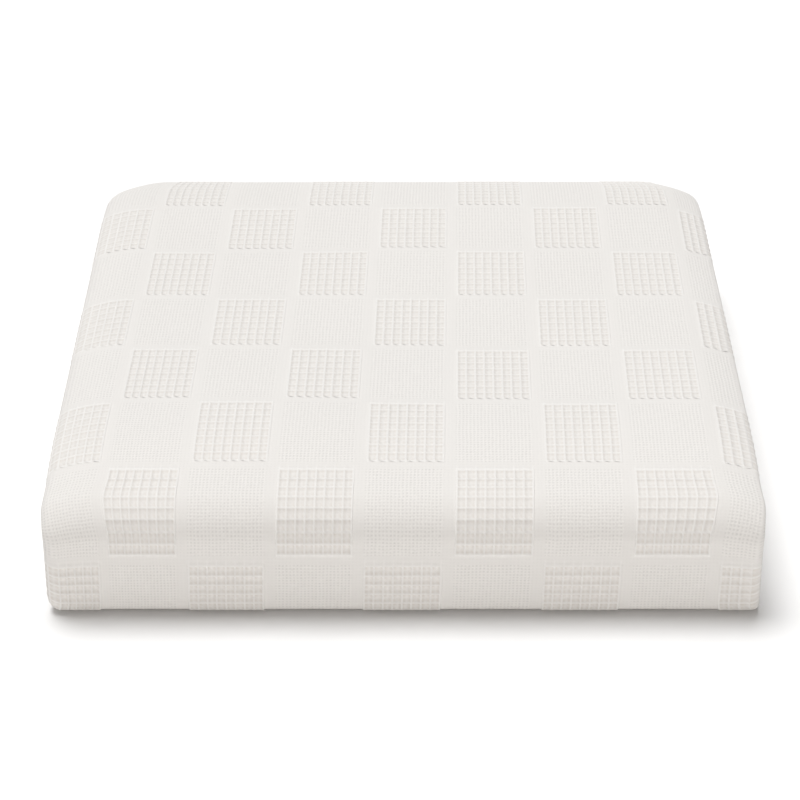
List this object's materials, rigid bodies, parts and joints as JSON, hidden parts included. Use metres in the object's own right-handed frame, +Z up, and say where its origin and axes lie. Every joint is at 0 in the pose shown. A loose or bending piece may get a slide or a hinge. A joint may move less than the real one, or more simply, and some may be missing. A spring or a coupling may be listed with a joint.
{
  "type": "folded bedspread",
  "caption": "Cotton bedspread in a check of waffle and plain woven squares, folded into a flat rectangular pack with one smooth front.",
  "frame": {"origin": "middle of the base, on the surface that the folded bedspread lies on", "axes": "+Z up through the stack of folds, -Y out of the smooth front, +X to the right seen from the front"},
  "size_m": [0.4068, 0.44, 0.0798],
  "materials": {
    "cloth": "matte off-white cotton, waffle squares in a plain ribbed ground"
  },
  "bodies": {
    "root": {"bedspread": "cloth"}
  },
  "joints": []
}
